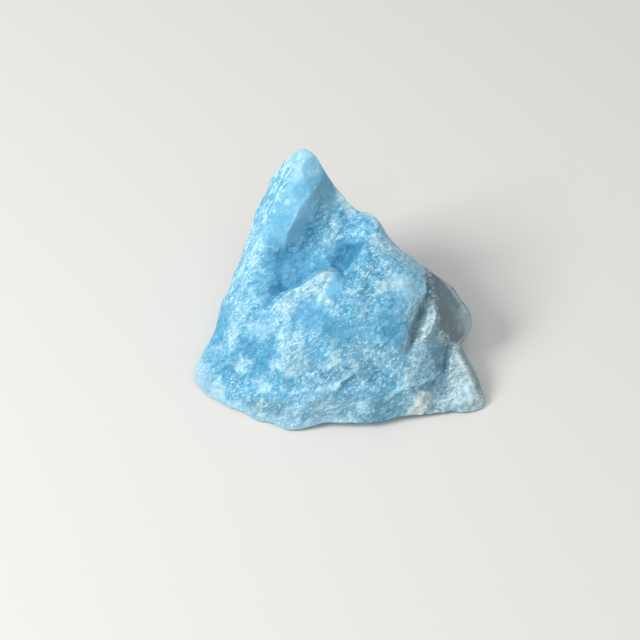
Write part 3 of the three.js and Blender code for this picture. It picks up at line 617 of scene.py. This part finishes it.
def relief_height(points, marks):
    """Height of the fine broken relief, in metres.

    It is the sum of chips of three sizes, flakes that lie along the slant of the broad face,
    crumbs where it is white or cream, growth lines along the horn's margin, and the foot's lip
    with the small cleavage steps. The flakes are weaker behind, and waxy faces lose most of the
    chips and flakes.
    """
    plane = on_front(points)
    height = np.zeros(len(points))
    for chips in CHIPS:
        height += chip_height(plane, *chips)

    def turned(lean, stretch):
        """Places on the front plane, turned to a lean and shortened along it."""
        cos, sin = math.cos(lean), math.sin(lean)
        along = (plane[:, 0] * cos + plane[:, 1] * sin) / stretch
        return np.stack([along, plane[:, 1] * cos - plane[:, 0] * sin, plane[:, 2]], axis=1)

    flakes = chip_height(turned(GRAIN_LEAN, FLAKE_STRETCH), *FLAKES)
    height += flakes * (BACK_SHARE + (1 - BACK_SHARE) * marks["front"])
    height *= 1 - marks["waxy"] * WAXY_LOSS
    crumbly = np.maximum(marks["cream"], smooth_step(marks["tone"], *CRUMB_TONES))
    height += chip_height(plane, *CRUMBS) * (crumbly * (1 - marks["waxy"]))
    lines = soft_noise(turned(GROWTH_LEAN, LINE_STRETCH), *GROWTH_LINES)
    height += lines * LINE_HEIGHT * marks["streak"]
    height += marks["lip"] * LIP_HEIGHT
    return height * MM


def worked_skin(node):
    """Points, triangles and marks of the skin: the solid divided, eased and given its relief.

    The base stays flat, no point leaves the solid's box, and crests and hollows are measured
    along the normal, between the shape and its spread ones.
    """
    points, triangles = merged_copy(node)
    base = points[:, 2] < BASE_HEIGHT
    for _ in range(DIVISIONS):
        points, triangles, ends = divided(points, triangles)
        base = np.concatenate([base, base[ends].all(axis=1)])
        points[base, 2] = 0
    points = eased(points, triangles)
    normals = point_normals(points, triangles)
    marks = stone_marks(points, normals)
    height = relief_height(points, marks) * smooth_step(points[:, 2], 0, FADE_HEIGHT)
    points = np.clip(points + normals * height[:, None], LOW, HIGH)

    near = spread(points, triangles, NEAR_ROUNDS)
    wide = spread(near, triangles, WIDE_ROUNDS)
    normals = point_normals(points, triangles)
    # The material paints a highlight on crests and shade in hollows by these two marks.
    marks["crest_highlight"] = smooth_step(((points - near) * normals).sum(axis=1) / MM, *CREST_HIGHLIGHT_RISE)
    marks["hollow_shade"] = smooth_step(((wide - near) * normals).sum(axis=1) / MM, *HOLLOW_SHADE_DEPTH)
    return points, triangles, marks


def stone_piece(node):
    """The finished skin as one mesh, which keeps the marks that its material reads."""
    points, triangles, marks = worked_skin(node)
    mesh = bpy.data.meshes.new("aquamarine_skin")
    mesh.vertices.add(len(points))
    mesh.vertices.foreach_set("co", points.ravel())
    mesh.loops.add(triangles.size)
    mesh.loops.foreach_set("vertex_index", triangles.ravel())
    mesh.polygons.add(len(triangles))
    mesh.polygons.foreach_set("loop_start", np.arange(0, triangles.size, 3))
    mesh.polygons.foreach_set("use_smooth", np.ones(len(triangles), bool))
    mesh.update(calc_edges=True)
    for name in MARKS:
        attribute = mesh.attributes.new(name, "FLOAT", "POINT")
        attribute.data.foreach_set("value", marks[name].astype(np.float32))
    piece = bpy.data.objects.new("aquamarine_skin", mesh)
    bpy.context.scene.collection.objects.link(piece)
    return piece


# ---------------------------------------------------------------------------------------------
# Materials
# ---------------------------------------------------------------------------------------------

def linear(hex_colour):
    """Linear colour with alpha from an sRGB hex value, by the standard's own curve."""
    parts = [int(hex_colour[i:i + 2], 16) / 255 for i in (1, 3, 5)]
    return [p / 12.92 if p <= 0.04045 else ((p + 0.055) / 1.055) ** 2.4 for p in parts] + [1.0]


def add_node(tree, kind, inputs=None, **settings):
    """Adds one node. Settings are its properties, and inputs its sockets' values or links.

    A node that is given as an input is linked by its first output.
    """
    node = tree.nodes.new("ShaderNode" + kind)
    for name, value in settings.items():
        setattr(node, name, value)
    for socket, value in (inputs or {}).items():
        if isinstance(value, bpy.types.Node):
            value = value.outputs[0]
        if isinstance(value, bpy.types.NodeSocket):
            tree.links.new(value, node.inputs[socket])
        else:
            node.inputs[socket].default_value = value
    return node


def milky_beryl():
    """Milky aquamarine, a beryl clouded by fine fractures, as it comes from the ground: broken.

    The break is sugary and half glossy, and light sinks about half a millimetre into it, which
    softens its edges. Hollows are painted deeper blue as shade, and crests paler as a painted
    highlight. Beryl's index of refraction is 1.577, and its pattern is flakes of 1.3 mm down to
    grains of 0.14 mm.
    """
    material = bpy.data.materials.new("milky_beryl")
    material.use_nodes = True
    tree = material.node_tree
    tree.nodes.clear()

    tone, waxy, glint, grey, cream, streak, crest_highlight, hollow_shade = (
        add_node(tree, "Attribute", attribute_name=name).outputs["Fac"] for name in MARKS
    )

    # A waxy break loses most of its grain, and more than half of its clouds and of its painted crest
    # highlight.
    grainy = add_node(tree, "Math", {0: waxy, 1: -WAXY_LOSS, 2: 1.0}, operation="MULTIPLY_ADD")
    calm = add_node(tree, "Math", {0: waxy, 1: -0.6, 2: 1.0}, operation="MULTIPLY_ADD")

    # Places on the leaning front plane, in millimetres.
    place = add_node(tree, "TexCoord").outputs["Object"]
    plane = add_node(tree, "Mapping", {"Vector": place, "Rotation": (FACE_TILT - math.pi / 2, 0, 0),
                                       "Scale": (1 / MM,) * 3})

    # Noise: its size in millimetres, its lean, its detail and its distortion.
    noise = {}
    for name, size, lean, detail, distortion in (
        ("cloud", (5.0, 3.6, 4.5), GRAIN_LEAN, 4, 0.6),
        ("mottle", (1.5, 0.8, 1.1), GRAIN_LEAN, 4, 0.5),
        ("veil", (2.2, 1.2, 1.6), GRAIN_LEAN, 3, 0.0),
        ("dashes", (1.1, 0.16, 0.4), GRAIN_LEAN, 2, 0.8),
        ("lines", (1.7, 0.3, 1.2), GROWTH_LEAN, 3, 0.7),
        ("edges", (1.1, 0.5, 0.7), GRAIN_LEAN, 2, 1.0),
    ):
        turned = add_node(tree, "Mapping", {"Vector": plane, "Rotation": (0, 0, lean), "Scale": size},
                          vector_type="TEXTURE")
        noise[name] = add_node(tree, "TexNoise", {"Vector": turned, "Scale": 1.0, "Detail": detail,
                                                  "Distortion": distortion})

    # Sugary break, in ragged grains of three sizes: size in millimetres, lean and steepness. Each
    # grain has a random number, and a height that is a plane through its centre with its own tilt.
    grains, borders, height, mosaic = [], [], 0.0, 0.0
    for size, lean, steepness in (
        ((1.3, 0.7, 0.9), GRAIN_LEAN, 0.3),
        ((0.6, 0.3, 0.4), GRAIN_LEAN, 0.4),
        ((0.3, 0.14, 0.2), GRAIN_LEAN * 0.7, 0.5),
    ):
        turned = add_node(tree, "Mapping", {"Vector": plane, "Rotation": (0, 0, lean), "Scale": size},
                          vector_type="TEXTURE")
        wobble = add_node(tree, "TexNoise", {"Vector": turned, "Scale": 1.4, "Detail": 2.0})
        ragged = add_node(tree, "VectorMath", {0: wobble.outputs["Color"], 1: (0.6,) * 3, 2: turned},
                          operation="MULTIPLY_ADD")
        cells = add_node(tree, "TexVoronoi", {"Vector": ragged, "Scale": 1.0})
        border = add_node(tree, "TexVoronoi", {"Vector": ragged, "Scale": 1.0},
                          feature="DISTANCE_TO_EDGE")
        centre, colour = cells.outputs["Position"], cells.outputs["Color"]
        random = add_node(tree, "TexWhiteNoise", {"Vector": centre})
        tilt = add_node(tree, "VectorMath", {0: colour, 1: (0.5,) * 3}, operation="SUBTRACT")
        offset = add_node(tree, "VectorMath", {0: ragged, 1: centre}, operation="SUBTRACT")
        rise = add_node(tree, "VectorMath", {0: offset, 1: tilt}, operation="DOT_PRODUCT")
        height = add_node(tree, "Math", {0: rise.outputs["Value"], 1: steepness * size[1], 2: height},
                          operation="MULTIPLY_ADD")
        mosaic = add_node(tree, "Math", {0: random, 1: mosaic}, operation="ADD")
        grains.append(random)
        borders.append(border)

    # Fine bright edges of cleavage run where the noise is near its middle, in half of the grains,
    # and pale fracture seams run between grains where a veil lies.
    edges = add_node(tree, "Math", {0: noise["edges"], 1: 0.5}, operation="PINGPONG")
    half = add_node(tree, "MapRange", {"Value": grains[1], "From Min": 0.4, "From Max": 0.5})
    edged = add_node(tree, "Math", {0: half, 1: glint}, operation="MULTIPLY")
    veiled = add_node(tree, "MapRange", {"Value": noise["veil"], "From Min": 0.45, "From Max": 0.65})
    seamed = add_node(tree, "Math", {0: veiled, 1: glint}, operation="MULTIPLY")

    # What makes the stone lighter or darker: a number, the range that counts, the change over it
    # and its weight. They are clouds, mottling, painted shade in hollows, a painted highlight on
    # crests, the grains' own tones, pale fracture seams of two sizes, dashes, bright flakes of two
    # sizes, partly white fractures and partly painted glints, bright edges and growth lines.
    level = tone
    for number, start, stop, low, high, weight in (
        (noise["cloud"], 0.3, 0.7, -0.24, 0.2, calm),
        (noise["mottle"], 0.32, 0.68, -0.13, 0.13, grainy),
        # Painted shade in hollows and a painted highlight on crests.
        (hollow_shade, 0.0, 1.0, 0.0, -0.25, 1.0),
        (crest_highlight, 0.0, 1.0, 0.0, 0.25, calm),
        (mosaic, 0.8, 2.2, -0.12, 0.12, grainy),
        (borders[0], 0.02, 0.08, 0.45, 0.0, seamed),
        (borders[1], 0.03, 0.1, 0.35, 0.0, seamed),
        (noise["dashes"], 0.56, 0.66, 0.0, 0.4, glint),
        # Bright flakes of two sizes, partly white fractures and partly painted glints.
        (grains[2], 0.85, 0.88, 0.0, 1.0, glint),
        (grains[1], 0.9, 0.94, 0.0, 0.5, glint),
        (edges, 0.455, 0.485, 0.0, 0.7, edged),
        (noise["lines"], 0.48, 0.6, 0.0, 0.9, streak),
    ):
        change = add_node(tree, "MapRange", {"Value": number, "From Min": start, "From Max": stop,
                                             "To Min": low, "To Max": high},
                          interpolation_type="SMOOTHSTEP")
        level = add_node(tree, "Math", {0: change, 1: weight, 2: level}, operation="MULTIPLY_ADD")

    # The level picks the colour, from the deep blue of a pit at -1 to a white flake at 1.6. Grey,
    # partly the stone's own and partly painted shade, and cream crumbs have scales of their own.
    share = add_node(tree, "MapRange", {"Value": level, "From Min": -1.0, "From Max": 1.6},
                     interpolation_type="SMOOTHSTEP")
    scales = {}
    for name, colours in (
        ("blue", ("#3F90B6", "#56A9CF", "#73BBDB", "#94CCE6", "#AADBEC", "#C2ECF7")),
        ("grey", ("#566E78", "#6F8288", "#93A6AC", "#AAC0C8", "#B9D3DC", "#C9E7F0")),
        ("cream", ("#7B9CA0", "#96B4B4", "#AFC8C4", "#BFD2CB", "#D2DED5", "#EDF1E8")),
    ):
        scales[name] = add_node(tree, "ValToRGB", {"Fac": share}, label=name)
        stops = scales[name].color_ramp.elements
        for _ in colours[2:]:
            stops.new(0.5)
        for order, colour in enumerate(colours):
            stops[order].position = order / (len(colours) - 1)
            stops[order].color = linear(colour)

    # A Mix node's sockets 6 and 7 are the colours that it mixes, and its output 2 is the result.
    patchy = add_node(tree, "MapRange", {"Value": mosaic, "From Min": 0.6, "From Max": 1.8,
                                         "To Min": 0.75})
    crumbs = add_node(tree, "Math", {0: cream, 1: patchy}, operation="MULTIPLY")
    body = scales["blue"].outputs[0]
    for amount, scale in ((grey, scales["grey"]), (crumbs, scales["cream"])):
        body = add_node(tree, "Mix", {0: amount, 6: body, 7: scale}, data_type="RGBA").outputs[2]

    # Surface: satin where the break is waxy and glossier where it is sugary, and each grain has a
    # tilt and a roughness of its own.
    satin = add_node(tree, "MapRange", {"Value": waxy, "To Min": 0.22, "To Max": 0.36})
    roughness = add_node(tree, "Math", {0: grains[1], 1: 0.2, 2: satin}, operation="MULTIPLY_ADD")
    relief = add_node(tree, "Math", {0: height, 1: grainy}, operation="MULTIPLY")
    bump = add_node(tree, "Bump", {"Strength": 1.0, "Distance": MM, "Height": relief})

    shader = add_node(tree, "BsdfPrincipled", {
        "Base Color": body, "Roughness": roughness, "Normal": bump, "IOR": 1.577,
        "Subsurface Weight": 0.4, "Subsurface Radius": (0.7, 1.0, 1.2), "Subsurface Scale": 0.6 * MM,
    })
    add_node(tree, "OutputMaterial", {"Surface": shader})
    return material


def pale_floor():
    """Matt off-white card: no gloss, and one even colour."""
    material = bpy.data.materials.new("pale_card")
    material.use_nodes = True
    shader = material.node_tree.nodes["Principled BSDF"]
    shader.inputs["Base Color"].default_value = linear("#DEDCD8")
    shader.inputs["Roughness"].default_value = 0.9
    return material


# ---------------------------------------------------------------------------------------------
# The scene
# ---------------------------------------------------------------------------------------------

def make_floor():
    """A square card, sixty times as wide as the stone, that the stone rests on."""
    half = SIZE.max() * 30
    corners = [(x * half, y * half, LOW[2]) for x, y in ((-1, -1), (1, -1), (1, 1), (-1, 1))]
    mesh = bpy.data.meshes.new("floor")
    mesh.from_pydata(corners, [], [(0, 1, 2, 3)])
    mesh.materials.append(pale_floor())
    floor = bpy.data.objects.new("floor", mesh)
    bpy.context.scene.collection.objects.link(floor)


def make_camera():
    """A close-up from the front and above, with the stone a little left of the middle."""
    elevation, distance = math.radians(50), 220 * MM
    aim = Vector((LOW + HIGH) / 2) + Vector(SIZE * (-0.068, -0.139, -0.118))
    data = bpy.data.cameras.new("camera")
    data.lens, data.sensor_width = 94.47, 36
    data.clip_start = MM
    camera = bpy.data.objects.new("camera", data)
    camera.location = aim + distance * Vector((0, -math.cos(elevation), math.sin(elevation)))
    camera.rotation_euler = (math.pi / 2 - elevation, 0, 0)
    bpy.context.scene.collection.objects.link(camera)
    bpy.context.scene.camera = camera


def make_light(name, azimuth, elevation, distance, width, power):
    """A square white light that faces the stone. Azimuth 0 is in front, and 90 is on the left.

    Angles are in degrees, lengths in metres and power in watts.
    """
    data = bpy.data.lights.new(name, "AREA")
    data.shape, data.size, data.energy = "SQUARE", width, power
    light = bpy.data.objects.new(name, data)
    turn, rise = math.radians(azimuth), math.radians(elevation)
    away = Vector((-math.sin(turn) * math.cos(rise), -math.cos(turn) * math.cos(rise), math.sin(rise)))
    light.location = away * distance
    light.rotation_euler = (-away).to_track_quat("-Z", "Y").to_euler()
    bpy.context.scene.collection.objects.link(light)


def make_studio():
    """A soft key light from the left, a wide fill from the front and above, and a pale room."""
    make_light("key", azimuth=70, elevation=42, distance=0.45, width=0.18, power=1.5)
    make_light("fill", azimuth=0, elevation=65, distance=0.6, width=0.5, power=1.2)
    world = bpy.data.worlds.new("room")
    world.use_nodes = True
    background = world.node_tree.nodes["Background"]
    background.inputs["Color"].default_value = linear("#F2F4F6")
    background.inputs["Strength"].default_value = 0.43
    bpy.context.scene.world = world
    bpy.context.scene.view_settings.view_transform = "Standard"


make_camera()
make_studio()
make_floor()

stone = stone_piece(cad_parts["aquamarine"])
stone.data.materials.append(milky_beryl())
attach(stone, "root")
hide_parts("aquamarine")
